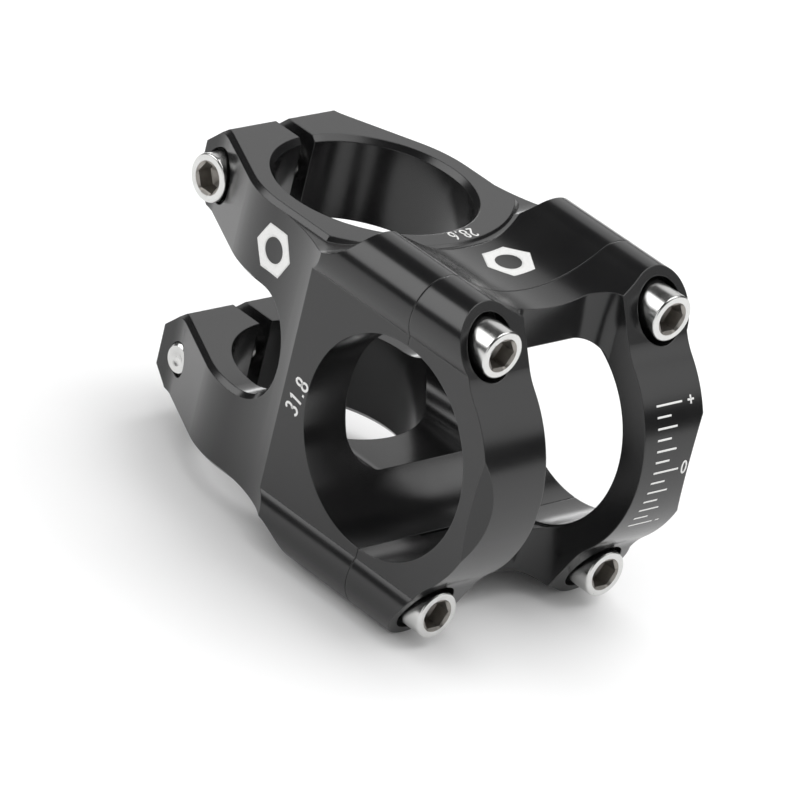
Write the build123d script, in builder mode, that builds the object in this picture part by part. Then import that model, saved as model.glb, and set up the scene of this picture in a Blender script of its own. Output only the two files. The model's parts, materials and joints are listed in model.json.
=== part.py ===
from build123d import *
import os
from math import cos, radians, sin, sqrt

# Bicycle handlebar stem, in millimetres.
# The steerer axis is Z and the handlebar axis runs along Y, REACH in front of it.
# +X points forward, +Y to the rider's left and +Z up. The origin is on the steerer
# axis, halfway up its clamp, so the stem is symmetric about z = 0.

REACH = 32.0
STEERER_R = 28.6 / 2
BAR_R = 31.8 / 2
SEAM_GAP = 0.12  # between the body and the faceplate

# Steerer clamp: two rings with a round-ended notch between them.
CLAMP_HALF_HEIGHT = 21.25
RING_R = 18.4
RING_CHAMFER = 0.7
BORE_CHAMFER = 0.8
NOTCH_HALF_HEIGHT = 8.3
NOTCH_END_X = -0.6  # centre of the notch's round end
SLOT_WIDTH = 2.5

# Ears behind the rings, which the pinch bolts draw together.
EAR_BACK_X = -23.5
EAR_HALF_WIDTH = 10.5
EAR_FLANK_ANGLE = 26.57  # between the ear's flank and the X axis
EAR_FLANK_FILLET = 6.0
EAR_CHAMFER = 3.3

# Side panels, which sweep out from the rings to the flat sides of the bar clamp.
PANEL_EDGE_X = 11.5
PANEL_FAR_Y = 24.0

# Bar clamp block: a ridge around each faceplate bolt, with a valley between.
BLOCK_HALF_WIDTH = 20.9
BOLT_Y = 16.2
BOLT_Z = 20.4
RIDGE_R = 5.6
VALLEY_FLOOR_Z = 21.15
RIDGE_END_X = 11.2  # where the floor beside the ring starts to rise
RIDGE_END_R = 8.1
BLOCK_FAR_Z = 27.0

# Land around each end of the steerer bore. Its front is an arc about a centre behind
# the steerer axis, and a scoop round that arc rises to the valley and the ridges.
FRONT_ARC_X = -6.2
FRONT_ARC_R = 24.9
SCOOP_FLOOR_Z = 20.9
SCOOP_R = 1.4
PASSAGE_HALF_WIDTH = 13.0
PASSAGE_HALF_HEIGHT = 11.7
PASSAGE_FILLET = 5.0

# Faceplate.
BAND_R = 20.3
BOSS_FACE_TOP_X = 7.0  # boss face above the ridge, in front of the bar axis
BOSS_FACE_FOOT_Z = 15.5  # where the boss face meets the band, above the bar axis
BOSS_FOOT_FILLET = 10.0
WINDOW_HALF_WIDTH = 9.5
BRIDGE_FRONT = 5.4
BRIDGE_RELIEF = 0.3  # the bar bears on the two bands only
WINDOW_FILLET = 4.0
FACET_R = 80.0
FACET_ANGLE = 45.0
FACET_START = 18.2  # rearmost point of the facet, in front of the bar axis

# M5 cap screws with narrow heads.
SCREW_R = 2.5
THREAD_HOLE_R = 2.55
CLEAR_HOLE_R = 2.75
HEAD_R = 3.55
HEAD_CHAMFER = 0.35
SOCKET_WIDTH = 4.0
SOCKET_DEPTH = 3.0
TIP_CHAMFER = 0.5
POCKET_R = 4.3
FACE_SEAT = 6.6  # under the heads of the faceplate bolts, in front of the bar axis
FACE_HEAD_LENGTH = 6.4
FACE_SCREW_LENGTH = 18.0
PINCH_X = -18.8
PINCH_Z = (CLAMP_HALF_HEIGHT + NOTCH_HALF_HEIGHT) / 2
PINCH_POCKET_R = 4.0
PINCH_SEAT_Y = 8.6
PINCH_HEAD_LENGTH = 5.0
PINCH_SCREW_LENGTH = 20.0

FLOOR_Z = CLAMP_HALF_HEIGHT - RING_CHAMFER
FAR = 60.0


def flank_tangent():
    """The point where the ear's flank touches the ring, on the +Y side."""
    turn = radians(EAR_FLANK_ANGLE)
    return -RING_R * sin(turn), RING_R * cos(turn)


def flank_x(y):
    """Where the straight flank, drawn on past its fillet, reaches a height y."""
    touch_x, touch_y = flank_tangent()
    turn = radians(EAR_FLANK_ANGLE)
    return touch_x - (touch_y - y) * cos(turn) / sin(turn)


def ring_and_ears(back_x):
    """Plan of the ring with its ears, cut off square at back_x."""
    corner_x = flank_x(EAR_HALF_WIDTH)
    touch = flank_tangent()
    with BuildSketch() as sketch:
        with BuildLine():
            upper = [(EAR_BACK_X, EAR_HALF_WIDTH), (corner_x, EAR_HALF_WIDTH), touch]
            lower = [(x, -y) for x, y in reversed(upper)]
            Polyline(*upper, *lower, close=True)
        make_face()
        inner_corners = [
            vertex for vertex in sketch.vertices() if abs(vertex.X - corner_x) < 0.01
        ]
        fillet(inner_corners, EAR_FLANK_FILLET)
        Circle(RING_R)
        with Locations((back_x - FAR / 2, 0)):
            Rectangle(FAR, FAR, mode=Mode.SUBTRACT)
    return sketch.sketch


def land_outline():
    """Plan of the land: the ring and its ears, with straight sides to the front arc."""
    with BuildSketch() as sketch:
        with Locations((FRONT_ARC_X, 0)):
            Circle(FRONT_ARC_R)
        with Locations((FAR / 2, 0)):
            Rectangle(FAR, 2 * RING_R, mode=Mode.INTERSECT)
        add(ring_and_ears(EAR_BACK_X + EAR_CHAMFER - RING_CHAMFER))
    return sketch.sketch


def panel_sweep():
    """Plan of the block. Its sides sweep out from the ring to PANEL_EDGE_X."""
    spread = BLOCK_HALF_WIDTH - RING_R
    sweep_r = (PANEL_EDGE_X**2 + spread**2) / (2 * spread)
    end_x = sqrt(sweep_r**2 - (sweep_r - (PANEL_FAR_Y - RING_R)) ** 2)
    with BuildSketch() as sketch:
        with BuildLine():
            arc = RadiusArc((0, RING_R), (end_x, PANEL_FAR_Y), -sweep_r)
            Polyline(arc @ 1, (REACH, PANEL_FAR_Y), (REACH, 0), (0, 0), arc @ 0)
        make_face()
        mirror(about=Plane.XZ)
    return sketch.sketch


def block_section():
    """Front view of the bar clamp: flat sides, and a valley between two ridges."""
    drop = BOLT_Z - VALLEY_FLOOR_Z
    valley_r = (BOLT_Y**2 + drop**2 - RIDGE_R**2) / (2 * (RIDGE_R + drop))
    centre_z = VALLEY_FLOOR_Z + valley_r
    share = RIDGE_R / (RIDGE_R + valley_r)
    touch = (BOLT_Y * (1 - share), BOLT_Z + (centre_z - BOLT_Z) * share)
    overhang = BLOCK_HALF_WIDTH - BOLT_Y
    side_z = BOLT_Z - sqrt(RIDGE_R**2 - overhang**2)
    outward = (BOLT_Y + RIDGE_R * sin(radians(45)), BOLT_Z + RIDGE_R * cos(radians(45)))
    with BuildSketch() as sketch:
        with BuildLine():
            valley = RadiusArc((0, VALLEY_FLOOR_Z), touch, -valley_r)
            ridge = ThreePointArc(touch, outward, (BLOCK_HALF_WIDTH, side_z))
            Polyline(ridge @ 1, (BLOCK_HALF_WIDTH, 0), (0, 0), valley @ 0)
        make_face()
        mirror(about=Plane.YZ)
        mirror(about=Plane.XZ)
    return sketch.sketch


def body_side():
    """Side view of the body: chamfered ears, level rings and the rise to the ridges."""
    top_x = RIDGE_END_X + sqrt(
        RIDGE_END_R**2 - (FLOOR_Z + RIDGE_END_R - BLOCK_FAR_Z) ** 2
    )
    ear_z = CLAMP_HALF_HEIGHT - EAR_CHAMFER
    chamfer_x = EAR_BACK_X + FLOOR_Z - ear_z
    with BuildSketch() as sketch:
        with BuildLine():
            rise = RadiusArc(
                (RIDGE_END_X, FLOOR_Z), (top_x, BLOCK_FAR_Z), -RIDGE_END_R
            )
            Polyline(rise @ 1, (REACH, BLOCK_FAR_Z), (REACH, 0), (EAR_BACK_X, 0),
                     (EAR_BACK_X, ear_z), (chamfer_x, FLOOR_Z), rise @ 0)
        make_face()
        mirror(about=Plane.XZ)
    return sketch.sketch


def faceplate_side():
    """Side view of the faceplate, drawn from the bar axis: a band with two bosses."""
    foot_x = sqrt(BAND_R**2 - BOSS_FACE_FOOT_Z**2)
    with BuildSketch() as sketch:
        Circle(BAND_R)
        with BuildLine():
            Polyline((0, 0), (0, BLOCK_FAR_Z), (BOSS_FACE_TOP_X, BLOCK_FAR_Z),
                     (foot_x, BOSS_FACE_FOOT_Z), close=True)
        make_face()
        feet = [vertex for vertex in sketch.vertices() if abs(vertex.X - foot_x) < 0.01]
        fillet(feet, BOSS_FOOT_FILLET)
        mirror(about=Plane.XZ)
        with Locations((SEAM_GAP - FAR / 2, 0)):
            Rectangle(FAR, FAR, mode=Mode.SUBTRACT)
    return sketch.sketch


SECTION_PLANE = Plane(origin=(EAR_BACK_X, 0, 0), x_dir=(0, 1, 0), z_dir=(1, 0, 0))
SIDE_PLANE = Plane(origin=(0, 0, 0), x_dir=(1, 0, 0), z_dir=(0, -1, 0))
BAR_PLANE = Plane(origin=(REACH, 0, 0), x_dir=(1, 0, 0), z_dir=(0, -1, 0))

os.makedirs("parts", exist_ok=True)


# Stem body: the block that holds the bar, the two rings and their ears. The upper
# half is made first and mirrored.
with BuildPart() as stem_body:
    with BuildSketch():
        add(ring_and_ears(EAR_BACK_X))
        add(panel_sweep())
    extrude(amount=BLOCK_FAR_Z)
    with BuildSketch(SECTION_PLANE):
        add(block_section())
    extrude(amount=FAR, mode=Mode.INTERSECT)
    with BuildSketch(SIDE_PLANE):
        add(body_side())
    extrude(amount=FAR, both=True, mode=Mode.INTERSECT)

    # Scoop in front of the land, turned about the centre of the land's front arc.
    with BuildSketch(Plane(origin=(FRONT_ARC_X, 0, 0), z_dir=(0, -1, 0), x_dir=(1, 0, 0))):
        with BuildLine():
            scoop = RadiusArc(
                (FRONT_ARC_R, SCOOP_FLOOR_Z),
                (FRONT_ARC_R + SCOOP_R, SCOOP_FLOOR_Z + SCOOP_R),
                -SCOOP_R,
            )
            Polyline(scoop @ 1, (FRONT_ARC_R + SCOOP_R, FAR), (0, FAR),
                     (0, SCOOP_FLOOR_Z), scoop @ 0)
        make_face()
    revolve(axis=Axis((FRONT_ARC_X, 0, 0), (0, 0, 1)), mode=Mode.SUBTRACT)

    # Raised land with a chamfered edge.
    with BuildSketch(Plane.XY.offset(FLOOR_Z)):
        add(land_outline())
    extrude(amount=RING_CHAMFER, taper=45)
    mirror(about=Plane.XY)

    Cylinder(STEERER_R, FAR, mode=Mode.SUBTRACT)
    for side in (1, -1):
        end = Plane(origin=(0, 0, side * CLAMP_HALF_HEIGHT), z_dir=(0, 0, -side))
        with BuildSketch(end):
            Circle(STEERER_R + BORE_CHAMFER)
        extrude(amount=BORE_CHAMFER, taper=45, mode=Mode.SUBTRACT)

    # Notch between the rings, open to the rear and rounded at its front end. It
    # flares at the back, where the ears' inner edges are chamfered too.
    flare_x = EAR_BACK_X + EAR_CHAMFER
    with BuildSketch(SIDE_PLANE):
        with Locations((NOTCH_END_X, 0)):
            Circle(NOTCH_HALF_HEIGHT)
        with Locations((NOTCH_END_X - FAR / 2, 0)):
            Rectangle(FAR, 2 * NOTCH_HALF_HEIGHT)
        with BuildLine():
            Polyline((flare_x, NOTCH_HALF_HEIGHT), (flare_x, -NOTCH_HALF_HEIGHT),
                     (EAR_BACK_X, -NOTCH_HALF_HEIGHT - EAR_CHAMFER),
                     (EAR_BACK_X, NOTCH_HALF_HEIGHT + EAR_CHAMFER), close=True)
        make_face()
    extrude(amount=FAR, both=True, mode=Mode.SUBTRACT)
    notch_side_edges = stem_body.edges().filter_by(
        lambda edge: abs(abs(edge.center().Z) - NOTCH_HALF_HEIGHT) < 0.01
        and abs(edge.center().Y) > EAR_HALF_WIDTH - 0.5
    )
    chamfer(notch_side_edges, RING_CHAMFER)

    # Slot through the ears.
    with Locations((-FAR / 2, 0, 0)):
        Box(FAR, SLOT_WIDTH, FAR, mode=Mode.SUBTRACT)

    # Passage from the steerer bore to the bar bore.
    with BuildSketch(Plane(origin=(0, 0, 0), x_dir=(0, 1, 0), z_dir=(1, 0, 0))):
        RectangleRounded(2 * PASSAGE_HALF_WIDTH, 2 * PASSAGE_HALF_HEIGHT, PASSAGE_FILLET)
    extrude(amount=REACH, mode=Mode.SUBTRACT)

    with Locations(BAR_PLANE):
        Cylinder(BAR_R, FAR, mode=Mode.SUBTRACT)

    # Threaded holes for the faceplate bolts.
    for y in (BOLT_Y, -BOLT_Y):
        for z in (BOLT_Z, -BOLT_Z):
            with BuildSketch(Plane(origin=(REACH, y, z), z_dir=(-1, 0, 0))):
                Circle(THREAD_HOLE_R)
            extrude(amount=FACE_SCREW_LENGTH - FACE_SEAT + 1.5, mode=Mode.SUBTRACT)

    # Holes for the pinch bolts: the upper bolt's head is on the rider's right,
    # the lower bolt's head on the left.
    for side in (1, -1):
        centre = (PINCH_X, 0, side * PINCH_Z)
        with BuildSketch(Plane(origin=centre, z_dir=(0, -side, 0))):
            Circle(CLEAR_HOLE_R)
        extrude(amount=FAR / 2, mode=Mode.SUBTRACT)
        with BuildSketch(Plane(origin=centre, z_dir=(0, side, 0))):
            Circle(THREAD_HOLE_R)
        extrude(amount=FAR / 2, mode=Mode.SUBTRACT)
        seat = (PINCH_X, -side * PINCH_SEAT_Y, side * PINCH_Z)
        with BuildSketch(Plane(origin=seat, z_dir=(0, -side, 0))):
            Circle(PINCH_POCKET_R)
        extrude(amount=FAR / 2, mode=Mode.SUBTRACT)

stem_body.part.label = "stem_body"
export_step(stem_body.part, "parts/stem_body.step")


# Faceplate: two bands around the bar, joined by a bridge above and one below.
with BuildPart() as faceplate:
    with BuildSketch(SECTION_PLANE):
        add(block_section())
    extrude(amount=2 * FAR)
    with BuildSketch(BAR_PLANE):
        add(faceplate_side())
    extrude(amount=FAR, both=True, mode=Mode.INTERSECT)

    with Locations(BAR_PLANE):
        Cylinder(BAR_R, FAR, mode=Mode.SUBTRACT)
        Cylinder(BAR_R + BRIDGE_RELIEF, 2 * WINDOW_HALF_WIDTH, mode=Mode.SUBTRACT)

    # Window between the bands.
    bridge_x = REACH + BRIDGE_FRONT
    with BuildSketch() as window:
        with Locations((bridge_x + FAR / 2, 0)):
            Rectangle(FAR, 2 * WINDOW_HALF_WIDTH)
        rear_corners = window.vertices().group_by(Axis.X)[0]
        fillet(rear_corners, WINDOW_FILLET)
    extrude(amount=FAR, both=True, mode=Mode.SUBTRACT)

    # Shallow hollow facet on the outer side of each band.
    for side in (1, -1):
        start = (REACH + FACET_START, side * BLOCK_HALF_WIDTH, 0)
        inward = radians(FACET_ANGLE)
        forward = (cos(inward), -side * sin(inward), 0)
        outward = Vector(sin(inward), side * cos(inward), 0)
        centre = Vector(*start) + outward * FACET_R
        with BuildSketch(Plane(origin=centre, z_dir=forward)):
            Circle(FACET_R)
        extrude(amount=FAR / 2, both=True, mode=Mode.SUBTRACT)

    for y in (BOLT_Y, -BOLT_Y):
        for z in (BOLT_Z, -BOLT_Z):
            with BuildSketch(Plane(origin=(REACH, y, z), z_dir=(1, 0, 0))):
                Circle(CLEAR_HOLE_R)
            extrude(amount=FAR, mode=Mode.SUBTRACT)
            with BuildSketch(Plane(origin=(REACH + FACE_SEAT, y, z), z_dir=(1, 0, 0))):
                Circle(POCKET_R)
            extrude(amount=FAR, mode=Mode.SUBTRACT)

faceplate.part.label = "faceplate"
export_step(faceplate.part, "parts/faceplate.step")


def cap_screw(seat, head_length, shank_length):
    """A cap screw with a hex socket. The seat's normal points out of the hole."""
    with BuildPart() as screw:
        with BuildSketch(seat):
            Circle(HEAD_R)
        extrude(amount=head_length)
        head_end = screw.faces().filter_by(GeomType.PLANE).sort_by(seat_axis(seat))[-1]
        chamfer(head_end.edges(), HEAD_CHAMFER)
        with BuildSketch(seat):
            Circle(SCREW_R)
        extrude(amount=-shank_length)
        tip = screw.faces().filter_by(GeomType.PLANE).sort_by(seat_axis(seat))[0]
        chamfer(tip.edges(), TIP_CHAMFER)
        with BuildSketch(seat.offset(head_length)):
            RegularPolygon(SOCKET_WIDTH / 2, 6, major_radius=False)
        extrude(amount=-SOCKET_DEPTH, mode=Mode.SUBTRACT)
    return screw


def seat_axis(seat):
    return Axis(seat.origin, seat.z_dir)


for side_name, y in (("left", BOLT_Y), ("right", -BOLT_Y)):
    for level_name, z in (("upper", BOLT_Z), ("lower", -BOLT_Z)):
        seat = Plane(origin=(REACH + FACE_SEAT, y, z), z_dir=(1, 0, 0))
        bolt = cap_screw(seat, FACE_HEAD_LENGTH, FACE_SCREW_LENGTH)
        bolt.part.label = f"faceplate_bolt_{level_name}_{side_name}"
        export_step(bolt.part, f"parts/{bolt.part.label}.step")

for level_name, side in (("upper", 1), ("lower", -1)):
    origin = (PINCH_X, -side * PINCH_SEAT_Y, side * PINCH_Z)
    seat = Plane(origin=origin, z_dir=(0, -side, 0))
    bolt = cap_screw(seat, PINCH_HEAD_LENGTH, PINCH_SCREW_LENGTH)
    bolt.part.label = f"pinch_bolt_{level_name}"
    export_step(bolt.part, f"parts/{bolt.part.label}.step")
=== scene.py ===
import json
import math

import bmesh
import bpy
from mathutils import Matrix, Vector
from mathutils.bvhtree import BVHTree


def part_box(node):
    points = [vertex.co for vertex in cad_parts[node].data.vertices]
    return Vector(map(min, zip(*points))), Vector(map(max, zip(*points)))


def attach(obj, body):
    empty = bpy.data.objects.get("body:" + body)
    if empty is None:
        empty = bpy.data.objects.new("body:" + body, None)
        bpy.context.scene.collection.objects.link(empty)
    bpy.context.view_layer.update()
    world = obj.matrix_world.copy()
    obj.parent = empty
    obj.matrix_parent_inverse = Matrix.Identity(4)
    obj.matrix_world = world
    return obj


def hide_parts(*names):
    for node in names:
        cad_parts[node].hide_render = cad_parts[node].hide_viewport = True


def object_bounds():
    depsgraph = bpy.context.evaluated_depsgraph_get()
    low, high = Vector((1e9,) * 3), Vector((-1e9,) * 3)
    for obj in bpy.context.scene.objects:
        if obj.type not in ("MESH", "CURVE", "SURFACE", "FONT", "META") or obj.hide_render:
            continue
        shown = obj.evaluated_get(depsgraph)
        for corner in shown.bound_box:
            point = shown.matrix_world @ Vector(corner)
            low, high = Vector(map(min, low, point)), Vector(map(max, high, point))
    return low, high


MM = 0.001

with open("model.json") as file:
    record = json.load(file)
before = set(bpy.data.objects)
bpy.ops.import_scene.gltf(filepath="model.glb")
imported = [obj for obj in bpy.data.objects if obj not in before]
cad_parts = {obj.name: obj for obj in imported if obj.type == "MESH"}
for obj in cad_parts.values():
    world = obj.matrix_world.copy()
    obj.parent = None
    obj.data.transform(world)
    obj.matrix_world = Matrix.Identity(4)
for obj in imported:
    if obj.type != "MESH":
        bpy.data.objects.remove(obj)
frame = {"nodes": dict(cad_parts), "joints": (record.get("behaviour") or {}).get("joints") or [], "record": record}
cad_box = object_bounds()
scene = bpy.context.scene
mounts = {mount["name"]: mount for mount in frame["record"]["mounts"]}
joints = {joint["name"]: joint for joint in frame["joints"]}
BAR_AXIS_X = mounts["bar_clamp"]["pos_m"][0]


# Camera, floor and light -----------------------------------------------------

CAMERA_PLACE = (0.6470, -0.7035, 0.4610)
CAMERA_AZIMUTH = 41.97
CAMERA_ELEVATION = 26.26
CAMERA_ROLL = 13.83
CAMERA_LENS = 339.04
SENSOR_WIDTH = 36


def make_camera():
    data = bpy.data.cameras.new("camera")
    data.lens = CAMERA_LENS
    data.sensor_width = SENSOR_WIDTH
    data.clip_start = 0.05
    data.clip_end = 20
    camera = bpy.data.objects.new("camera", data)
    turn = (
        Matrix.Rotation(math.radians(CAMERA_AZIMUTH), 4, "Z")
        @ Matrix.Rotation(math.radians(90 - CAMERA_ELEVATION), 4, "X")
        @ Matrix.Rotation(math.radians(CAMERA_ROLL), 4, "Z")
    )
    camera.matrix_world = Matrix.Translation(CAMERA_PLACE) @ turn
    scene.collection.objects.link(camera)
    scene.camera = camera


def new_tree(name):
    """A new material with an empty node tree."""
    material = bpy.data.materials.new(name)
    material.use_nodes = True
    tree = material.node_tree
    tree.nodes.clear()
    return material, tree


def node(tree, kind, inputs=(), **settings):
    """Adds a node. Inputs is a dict of socket name or index to a value or a socket."""
    made = tree.nodes.new(kind)
    for key, value in settings.items():
        setattr(made, key, value)
    for key, value in dict(inputs).items():
        if isinstance(value, bpy.types.NodeSocket):
            tree.links.new(value, made.inputs[key])
        else:
            made.inputs[key].default_value = value
    return made


def ramp(tree, value, low, high, to_low=0.0, to_high=1.0):
    """Maps value from low..high to to_low..to_high, smoothly."""
    made = node(
        tree,
        "ShaderNodeMapRange",
        {0: value, 1: low, 2: high, 3: to_low, 4: to_high},
        interpolation_type="SMOOTHSTEP",
    )
    return made.outputs[0]


def maths(tree, operation, a, b=0.0):
    return node(tree, "ShaderNodeMath", {0: a, 1: b}, operation=operation).outputs[0]


def noise(tree, place, scale, detail):
    """Noise of 0 to 1 at a place, as a socket."""
    made = node(
        tree, "ShaderNodeTexNoise", {"Vector": place, "Scale": scale, "Detail": detail}
    )
    return made.outputs["Fac"]


def blend(tree, share, first, second):
    """A colour between two colours, as a socket."""
    made = node(
        tree, "ShaderNodeMix", {0: share, 6: first, 7: second}, data_type="RGBA"
    )
    return made.outputs[2]


def surface(tree, **inputs):
    """Ends a material with a Principled shader. Underscores stand for spaces."""
    sockets = {name.replace("_", " "): value for name, value in inputs.items()}
    shader = node(tree, "ShaderNodeBsdfPrincipled", sockets)
    node(tree, "ShaderNodeOutputMaterial", {"Surface": shader.outputs[0]})


def object_place(tree):
    return node(tree, "ShaderNodeTexCoord").outputs["Object"]


FLOOR_REACH = 4.0
NOISE_DETAIL = 2.0


def make_floor():
    z = cad_box[0].z
    mesh = bpy.data.meshes.new("floor")
    signs = ((-1, -1), (1, -1), (1, 1), (-1, 1))
    corners = [(x * FLOOR_REACH, y * FLOOR_REACH, z) for x, y in signs]
    mesh.from_pydata(corners, [], [(0, 1, 2, 3)])
    floor = bpy.data.objects.new("floor", mesh)
    scene.collection.objects.link(floor)
    material, tree = new_tree("pale_floor")
    grain = noise(tree, object_place(tree), 900.0, NOISE_DETAIL)
    surface(
        tree, Base_Color=(0.96, 0.96, 0.96, 1), Roughness=ramp(tree, grain, 0, 1, 0.6, 0.7)
    )
    mesh.materials.append(material)


ROOM_BRIGHTNESS = 0.06


def soft_patch(tree, direction, toward, half_width, softness, brightness):
    """A round bright patch of the room. Its size and its soft rim are in degrees."""
    facing = node(
        tree,
        "ShaderNodeVectorMath",
        {0: direction, 1: tuple(Vector(toward).normalized())},
        operation="DOT_PRODUCT",
    ).outputs["Value"]
    outer = math.cos(math.radians(half_width + softness))
    inner = math.cos(math.radians(half_width))
    return ramp(tree, facing, outer, inner, 0.0, brightness)


def make_studio():
    """A dim room with soft bright patches, plain white to the camera and the floor."""
    world = bpy.data.worlds.new("studio")
    scene.world = world
    world.use_nodes = True
    tree = world.node_tree
    tree.nodes.clear()
    direction = node(tree, "ShaderNodeTexCoord").outputs["Generated"]
    side_box = soft_patch(tree, direction, (-0.60, -0.54, 0.58), 19, 5, 3.4)
    rear_box = soft_patch(tree, direction, (-0.60, 0.66, 0.42), 15, 8, 1.1)
    horizon = soft_patch(tree, direction, (-0.82, 0.57, 0.0), 7, 5, 5.0)
    front_box = soft_patch(tree, direction, (0.62, 0.62, 0.50), 12, 5, 1.6)
    low_box = soft_patch(tree, direction, (0.30, -0.90, 0.25), 16, 6, 1.6)
    room = side_box
    for patch in (rear_box, horizon, front_box, low_box):
        room = maths(tree, "ADD", room, patch)
    room = maths(tree, "ADD", room, ROOM_BRIGHTNESS)
    path = node(tree, "ShaderNodeLightPath").outputs
    plain = maths(tree, "MAXIMUM", path["Is Camera Ray"], path["Is Diffuse Ray"])
    level = node(tree, "ShaderNodeMix", {0: plain, 2: room, 3: 1.0}).outputs[0]
    background = node(tree, "ShaderNodeBackground", {"Strength": level})
    node(tree, "ShaderNodeOutputWorld", {"Surface": background.outputs[0]})


def make_light(name, place, target, size, power):
    data = bpy.data.lights.new(name, "AREA")
    data.shape = "DISK"
    data.size = size
    data.energy = power
    light = bpy.data.objects.new(name, data)
    light.location = place
    aim = Vector(target) - Vector(place)
    light.rotation_euler = aim.to_track_quat("-Z", "Y").to_euler()
    scene.collection.objects.link(light)


make_camera()
make_floor()
make_studio()
make_light("overhead", (0.3, 0.5, 1.4), (0.02, 0, 0), 1.6, 14)
scene.view_settings.view_transform = "Standard"


# Materials -------------------------------------------------------------------

BUMP_DEPTH = 0.01 * MM


def edge_rounding_and_highlight(tree, radius):
    """A normal that rounds sharp edges by radius, and a mask of where it does; the mask paints edge highlights
    into a colour.
    """
    rounded = node(tree, "ShaderNodeBevel", {"Radius": radius}, samples=6).outputs[0]
    true = node(tree, "ShaderNodeNewGeometry").outputs["Normal"]
    alike = node(
        tree, "ShaderNodeVectorMath", {0: rounded, 1: true}, operation="DOT_PRODUCT"
    ).outputs["Value"]
    return rounded, ramp(tree, alike, 0.995, 0.90)


def fine_bump(tree, strength, height, normal):
    made = node(
        tree,
        "ShaderNodeBump",
        {"Strength": strength, "Distance": BUMP_DEPTH, "Height": height, "Normal": normal},
    )
    return made.outputs[0]


def anodised_black():
    """Semi-gloss black anodising over fine machining marks, with painted edge highlights."""
    material, tree = new_tree("black_anodised")
    place = object_place(tree)
    rounded, edge = edge_rounding_and_highlight(tree, 0.22 * MM)
    cloud = noise(tree, place, 160.0, 3.0)
    grain = noise(tree, place, 9000.0, NOISE_DETAIL)
    stretched = node(
        tree, "ShaderNodeMapping", {"Vector": place, "Scale": (900.0, 900.0, 16000.0)}
    )
    passes = noise(tree, stretched.outputs[0], 5.0, NOISE_DETAIL)
    tone = blend(tree, cloud, (0.006, 0.006, 0.0065, 1), (0.010, 0.010, 0.010, 1))
    # Painted highlight: sharp edges are lighter in the base colour, along the bevel mask.
    colour = blend(tree, maths(tree, "MULTIPLY", edge, 0.5), tone, (0.06, 0.06, 0.06, 1))
    mottle = maths(tree, "MULTIPLY", cloud, 0.08)
    fine = maths(tree, "MULTIPLY", grain, 0.06)
    roughness = maths(tree, "ADD", maths(tree, "ADD", mottle, fine), 0.13)
    height = maths(tree, "ADD", grain, passes)
    normal = fine_bump(tree, 0.06, height, rounded)
    surface(
        tree, Base_Color=colour, Metallic=0.0, Roughness=roughness, IOR=1.55, Normal=normal
    )
    return material


def bright_steel():
    """Polished steel with a slightly uneven gloss."""
    material, tree = new_tree("bolt_steel")
    place = object_place(tree)
    rounded, _ = edge_rounding_and_highlight(tree, 0.12 * MM)
    cloud = noise(tree, place, 700.0, 3.0)
    grain = noise(tree, place, 12000.0, NOISE_DETAIL)
    colour = blend(tree, cloud, (0.58, 0.58, 0.57, 1), (0.70, 0.70, 0.69, 1))
    roughness = ramp(tree, cloud, 0.2, 0.8, 0.18, 0.28)
    normal = fine_bump(tree, 0.08, grain, rounded)
    surface(tree, Base_Color=colour, Metallic=1.0, Roughness=roughness, Normal=normal)
    return material


def etched_white():
    """Laser-etched mark: matt white with a slightly uneven tone."""
    material, tree = new_tree("mark_white")
    speckle = noise(tree, object_place(tree), 6000.0, 3.0)
    colour = blend(tree, speckle, (0.62, 0.62, 0.61, 1), (0.86, 0.86, 0.85, 1))
    surface(tree, Base_Color=colour, Roughness=ramp(tree, speckle, 0.3, 0.7, 0.5, 0.7))
    return material


def socket_painted_shade():
    """Steel darkened inside a socket: painted shade of the recess."""
    material, tree = new_tree("socket_painted_shade")
    cloud = noise(tree, object_place(tree), 1500.0, 4.0)
    colour = blend(tree, cloud, (0.22, 0.205, 0.19, 1), (0.46, 0.44, 0.41, 1))
    roughness = ramp(tree, cloud, 0.3, 0.7, 0.4, 0.6)
    surface(tree, Base_Color=colour, Metallic=1.0, Roughness=roughness)
    return material


BLACK = anodised_black()
STEEL = bright_steel()
SOCKET_SHADE = socket_painted_shade()
WHITE = etched_white()


def assign(piece, material):
    piece.data.materials.clear()
    piece.data.materials.append(material)


for name in ("stem_body", "faceplate"):
    assign(frame["nodes"][name], BLACK)


# Screws ----------------------------------------------------------------------

HEAD_R = 3.55 * MM
SHANK_R = 2.5 * MM
ROOT_R = 2.1 * MM
PITCH = 0.8 * MM
SOCKET_R = 4.0 / math.sqrt(3) * MM
SOCKET_DEPTH = 3.0 * MM
SOCKET_CHAMFER = 0.3 * MM
HEAD_ROUND = 0.3 * MM
AROUND = 96
STEPS_PER_THREAD = 8
SMOOTH_ANGLE = 35


def hexagon_reach(corner_radius, turn):
    """How far a hexagon reaches from its centre in the direction turn."""
    within = turn % (math.pi / 3) - math.pi / 6
    return corner_radius * math.cos(math.pi / 6) / math.cos(within)


def ring_at(mesh, height, radius_at):
    """A ring of vertices about the screw's axis. radius_at gives a step's radius."""
    made = []
    for step in range(AROUND):
        turn = 2 * math.pi * step / AROUND
        radius = radius_at(step)
        made.append(mesh.verts.new((radius * math.cos(turn), radius * math.sin(turn), height)))
    return made


def ring(mesh, radius, height):
    return ring_at(mesh, height, lambda step: radius)


def hex_ring(mesh, corner_radius, height):
    return ring_at(
        mesh, height, lambda step: hexagon_reach(corner_radius, 2 * math.pi * step / AROUND)
    )


def thread_ring(mesh, height, depth_share):
    """A ring on the thread's helix, whose crest follows the turn."""

    def radius_at(step):
        phase = (height / PITCH - step / AROUND) % 1.0
        cut = 1 - abs(2 * phase - 1)
        return SHANK_R - (SHANK_R - ROOT_R) * min(1.0, 1.15 * cut) * depth_share

    return ring_at(mesh, height, radius_at)


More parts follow.
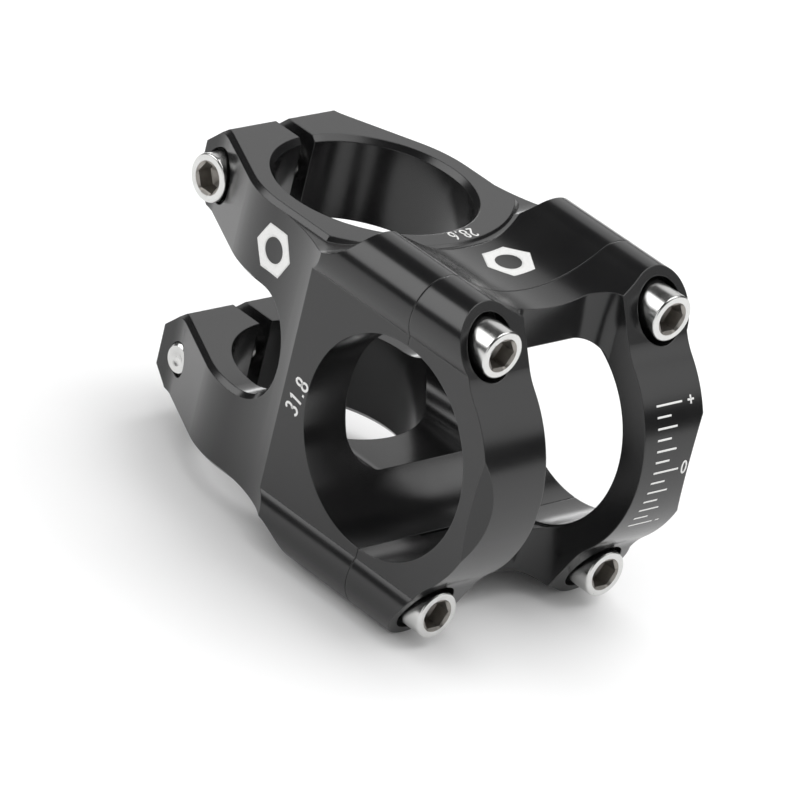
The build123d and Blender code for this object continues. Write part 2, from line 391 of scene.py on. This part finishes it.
def skin(mesh, rings):
    """Faces between each ring and the next."""
    for lower, upper in zip(rings, rings[1:]):
        for i in range(AROUND):
            j = (i + 1) % AROUND
            mesh.faces.new((lower[i], lower[j], upper[j], upper[i]))


def tip_rings(mesh, length):
    """The dimpled end of the screw, from its centre outwards."""
    return [
        ring(mesh, 0.15 * MM, 0.35 * MM - length),
        ring(mesh, 0.9 * MM, 0.15 * MM - length),
        ring(mesh, 1.2 * MM, -length),
        ring(mesh, ROOT_R * 0.95, -length),
    ]


def thread_rings(mesh, length):
    """The thread, which fades in at the tip and out under the head."""
    steps = int(length / PITCH * STEPS_PER_THREAD)
    rings = []
    for step in range(steps + 1):
        height = -length + 0.35 * MM + (length - 0.5 * MM) * step / steps
        run_in = min(1.0, (height + length) / (2 * PITCH))
        run_out = min(1.0, -height / (1.5 * PITCH))
        rings.append(thread_ring(mesh, height, min(1.0, 0.6 + 0.4 * run_in) * run_out))
    return rings


def head_rings(mesh, head_length):
    """The head, from the shank to the rim of its flat end."""
    rings = [
        ring(mesh, SHANK_R, 0.0),
        ring(mesh, HEAD_R - HEAD_ROUND, 0.0),
        ring(mesh, HEAD_R - 0.1 * MM, 0.0),
        ring(mesh, HEAD_R, 0.1 * MM),
        ring(mesh, HEAD_R, head_length - HEAD_ROUND),
    ]
    for step in range(1, 6):
        turn = math.pi / 2 * step / 5
        radius = HEAD_R - HEAD_ROUND * (1 - math.cos(turn))
        rings.append(ring(mesh, radius, head_length - HEAD_ROUND * (1 - math.sin(turn))))
    return rings


def socket_rings(mesh, head_length):
    """The hex socket, from its chamfered mouth to its drilled bottom."""
    return [
        ring(mesh, SOCKET_R + 0.2 * MM, head_length),
        hex_ring(mesh, SOCKET_R, head_length - SOCKET_CHAMFER),
        hex_ring(mesh, SOCKET_R, head_length - SOCKET_DEPTH * 0.85),
        ring(mesh, SOCKET_R * 0.55, head_length - SOCKET_DEPTH),
        ring(mesh, 0.1 * MM, head_length - SOCKET_DEPTH * 1.1),
    ]


def build_screw(name, length, head_length):
    """A cap screw along +Z, with the underside of its head at z = 0. Its steel is its
    first material, and its socket's is the second."""
    mesh = bmesh.new()
    rings = tip_rings(mesh, length) + thread_rings(mesh, length) + head_rings(mesh, head_length)
    outside_count = len(rings)
    rings += socket_rings(mesh, head_length)
    skin(mesh, rings)
    mesh.faces.new(rings[-1])
    mesh.faces.ensure_lookup_table()
    # The socket's faces take the second material, its painted shade.
    for face in mesh.faces[outside_count * AROUND:]:
        face.material_index = 1
    mesh.faces.new(list(reversed(rings[0])))
    bmesh.ops.recalc_face_normals(mesh, faces=mesh.faces)
    data = bpy.data.meshes.new(name)
    mesh.to_mesh(data)
    mesh.free()
    for polygon in data.polygons:
        polygon.use_smooth = True
    data.set_sharp_from_angle(angle=math.radians(SMOOTH_ANGLE))
    return data


def add_screw(node_name, head_length):
    """Stands for a CAD screw, along its joint's axis and within its box."""
    joint = joints[node_name + "_turn"]
    outward = Vector(joint["axis"])
    seat = Vector(joint["pos_m"])
    low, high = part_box(node_name)
    along = [abs(part) for part in outward].index(1.0)
    length = (high - low)[along] - head_length
    mesh = build_screw(node_name, length, head_length)
    screw = bpy.data.objects.new(node_name + "_screw", mesh)
    scene.collection.objects.link(screw)
    turn = outward.to_track_quat("Z", "Y").to_matrix().to_4x4()
    screw.data.transform(Matrix.Translation(seat) @ turn)
    screw.data.materials.append(STEEL)
    # Second material: the socket's darker steel, painted shade.
    screw.data.materials.append(SOCKET_SHADE)
    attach(screw, node_name)
    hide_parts(node_name)


FACE_HEAD_LENGTH = 6.4 * MM
PINCH_HEAD_LENGTH = 5.0 * MM

for name in frame["nodes"]:
    if name.startswith("faceplate_bolt"):
        add_screw(name, FACE_HEAD_LENGTH)
    elif name.startswith("pinch_bolt"):
        add_screw(name, PINCH_HEAD_LENGTH)


# Marks -----------------------------------------------------------------------

MARK_LIFT = 0.015 * MM
MARK_THICKNESS = 0.02 * MM
MERGE_DISTANCE = 0.001 * MM
RAY_START = 30 * MM
STROKE_STEP = 0.3
HEXAGON_STEPS = 96
HEXAGON_ROWS = 4


def surface_tree(node_name):
    """A ray-castable copy of a CAD node's surface in world space."""
    source = frame["nodes"][node_name]
    place = source.matrix_world
    points = [place @ vertex.co for vertex in source.data.vertices]
    faces = [tuple(polygon.vertices) for polygon in source.data.polygons]
    return BVHTree.FromPolygons(points, faces)


SURFACES = {name: surface_tree(name) for name in ("stem_body", "faceplate")}


class Mark:
    """A flat mark laid onto a CAD surface. Strokes are drawn on a plane whose right and
    up directions are given, and dropped along the plane's normal onto the surface."""

    def __init__(self, name, node_name, origin, right, up):
        self.name = name
        self.node_name = node_name
        self.origin = Vector(origin) * MM
        self.right = Vector(right).normalized()
        self.out = self.right.cross(Vector(up)).normalized()
        self.up = self.out.cross(self.right)
        self.mesh = bmesh.new()

    def land(self, across, along):
        """A new vertex on the surface, under a point of the plane."""
        start = self.origin + (self.right * across + self.up * along) * MM
        hit, normal, _, _ = SURFACES[self.node_name].ray_cast(
            start + self.out * RAY_START, -self.out
        )
        return self.mesh.verts.new(hit + normal * MARK_LIFT)

    def stroke(self, points, width):
        """A stroke of even width along a list of (across, along) points, in mm."""
        path = [Vector(points[0])]
        for start, end in zip(points, points[1:]):
            start = Vector(start)
            end = Vector(end)
            parts = max(1, round((end - start).length / STROKE_STEP))
            path += [start.lerp(end, part / parts) for part in range(1, parts + 1)]
        rows = []
        for i, point in enumerate(path):
            before = path[max(i - 1, 0)]
            after = path[min(i + 1, len(path) - 1)]
            side = (after - before).normalized().orthogonal() * width / 2
            rows.append([self.land(*(point + side * share)) for share in (-1, 0, 1)])
        self.quads(rows)

    def quads(self, rows):
        """Faces between each row of vertices and the next."""
        for row, following in zip(rows, rows[1:]):
            for i in range(len(row) - 1):
                self.mesh.faces.new((row[i], row[i + 1], following[i + 1], following[i]))

    def hexagon_ring(self, outer, inner):
        """A hexagon of corner radius outer with a round hole of radius inner."""
        rows = []
        for step in range(HEXAGON_STEPS + 1):
            turn = 2 * math.pi * step / HEXAGON_STEPS
            reach = hexagon_reach(outer, turn)
            row = []
            for share in range(HEXAGON_ROWS + 1):
                radius = inner + (reach - inner) * share / HEXAGON_ROWS
                row.append(self.land(radius * math.cos(turn), radius * math.sin(turn)))
            rows.append(row)
        self.quads(rows)

    def digits(self, text, height, width):
        """Plain numerals, centred on the origin."""
        pitches = [height * (0.4 if figure == "." else 0.7) for figure in text]
        edge = -sum(pitches) / 2
        for figure, pitch in zip(text, pitches):
            centre = edge + pitch / 2
            for line in NUMERALS[figure]:
                points = [(centre + x * height / 2, (y - 0.5) * height) for x, y in line]
                self.stroke(points, width)
            edge += pitch

    def finish(self):
        bmesh.ops.remove_doubles(self.mesh, verts=self.mesh.verts, dist=MERGE_DISTANCE)
        bmesh.ops.recalc_face_normals(self.mesh, faces=self.mesh.faces)
        data = bpy.data.meshes.new(self.name)
        self.mesh.to_mesh(data)
        self.mesh.free()
        mark = bpy.data.objects.new(self.name, data)
        scene.collection.objects.link(mark)
        for polygon in data.polygons:
            polygon.use_smooth = True
        thickness = mark.modifiers.new("thickness", "SOLIDIFY")
        thickness.thickness = MARK_THICKNESS
        thickness.offset = 0
        assign(mark, WHITE)
        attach(mark, self.node_name)


def arc(centre, radius, begin, end, parts=12):
    """Points on an elliptical arc, from one angle to another in degrees."""
    made = []
    for step in range(parts + 1):
        turn = math.radians(begin + (end - begin) * step / parts)
        made.append(
            (centre[0] + radius[0] * math.cos(turn), centre[1] + radius[1] * math.sin(turn))
        )
    return made


# Strokes of each numeral, in a box from x -0.5 to 0.5 and y 0 to 1.
NUMERALS = {
    "0": [arc((0, 0.5), (0.45, 0.5), 0, 360, 24)],
    "1": [[(-0.25, 0.8), (0.05, 1.0), (0.05, 0.0)]],
    "2": [arc((0, 0.7), (0.42, 0.3), 160, -30) + [(-0.45, 0.0), (0.45, 0.0)]],
    "3": [arc((0, 0.74), (0.38, 0.26), 150, -90), arc((0, 0.25), (0.45, 0.25), 90, -150)],
    "6": [arc((0, 0.28), (0.43, 0.28), 0, 360, 20), arc((0.3, 0.3), (0.73, 0.7), 180, 100)],
    "8": [arc((0, 0.75), (0.36, 0.25), 0, 360, 20), arc((0, 0.25), (0.45, 0.25), 0, 360, 20)],
    ".": [[(0.0, 0.0), (0.0, 0.16)]],
    "+": [[(-0.7, 0.5), (0.7, 0.5)], [(0.0, 0.15), (0.0, 0.85)]],
    "-": [[(-0.4, 0.5), (0.4, 0.5)]],
}

NUT_OUTER_R = 3.9
NUT_INNER_R = 1.9

panel_mark = Mark("panel_mark", "stem_body", (1.5, -18.4, 14.5), (1, 0, 0), (0, 0, 1))
panel_mark.hexagon_ring(NUT_OUTER_R, NUT_INNER_R)
panel_mark.finish()

valley_mark = Mark("valley_mark", "stem_body", (25.1, 2.8, 26), (0, 1, 0), (-1, 0, 0))
valley_mark.hexagon_ring(NUT_OUTER_R, NUT_INNER_R)
valley_mark.finish()

bar_size = Mark("bar_size", "stem_body", (14.3, -20.9, -1.4), (0.2, 0, 0.98), (-0.98, 0, 0.2))
bar_size.digits("31.8", 2.4, 0.38)
bar_size.finish()

steerer_size = Mark("steerer_size", "stem_body", (16.3, 2.2, 30), (0, -1, 0), (1, 0, 0))
steerer_size.digits("28.6", 2.0, 0.3)
steerer_size.finish()

# Angle scale round the outside of the band. Angles are in degrees above the bar's
# axis, and lengths are in mm.
BAND_R = 20.3
SCALE_TICKS = 13
SCALE_TOP = 29.1
SCALE_STEP = 4.567
LONG_TICKS = {0: 5.0, 6: 4.8, 12: 4.6}
MEDIUM_TICK = 3.8
SHORT_TICK = 2.7
TICK_START = 12.0
TICK_WIDTH = 0.3
SIGN_HEIGHT = 1.8


def scale_mark(name, turn):
    """A mark whose origin lies on the band at an angle."""
    lean = math.radians(turn)
    out = (math.cos(lean), 0, math.sin(lean))
    up = (-math.sin(lean), 0, math.cos(lean))
    place = (BAR_AXIS_X / MM + BAND_R * out[0], TICK_START, BAND_R * out[2])
    return Mark(name, "faceplate", place, (0, 1, 0), up)


for tick in range(SCALE_TICKS):
    turn = SCALE_TOP - SCALE_STEP * tick
    length = LONG_TICKS.get(tick, MEDIUM_TICK if tick % 2 == 0 else SHORT_TICK)
    mark = scale_mark("scale_tick_%d" % tick, turn)
    mark.stroke([(0, 0), (length, 0)], TICK_WIDTH)
    mark.finish()

for figure, tick, offset in (("+", 0, 6.7), ("0", 6, 5.95), ("-", 12, 5.6)):
    mark = scale_mark("scale_sign_%d" % tick, SCALE_TOP - SCALE_STEP * tick)
    mark.origin.y += offset * MM
    mark.digits(figure, SIGN_HEIGHT, TICK_WIDTH)
    mark.finish()
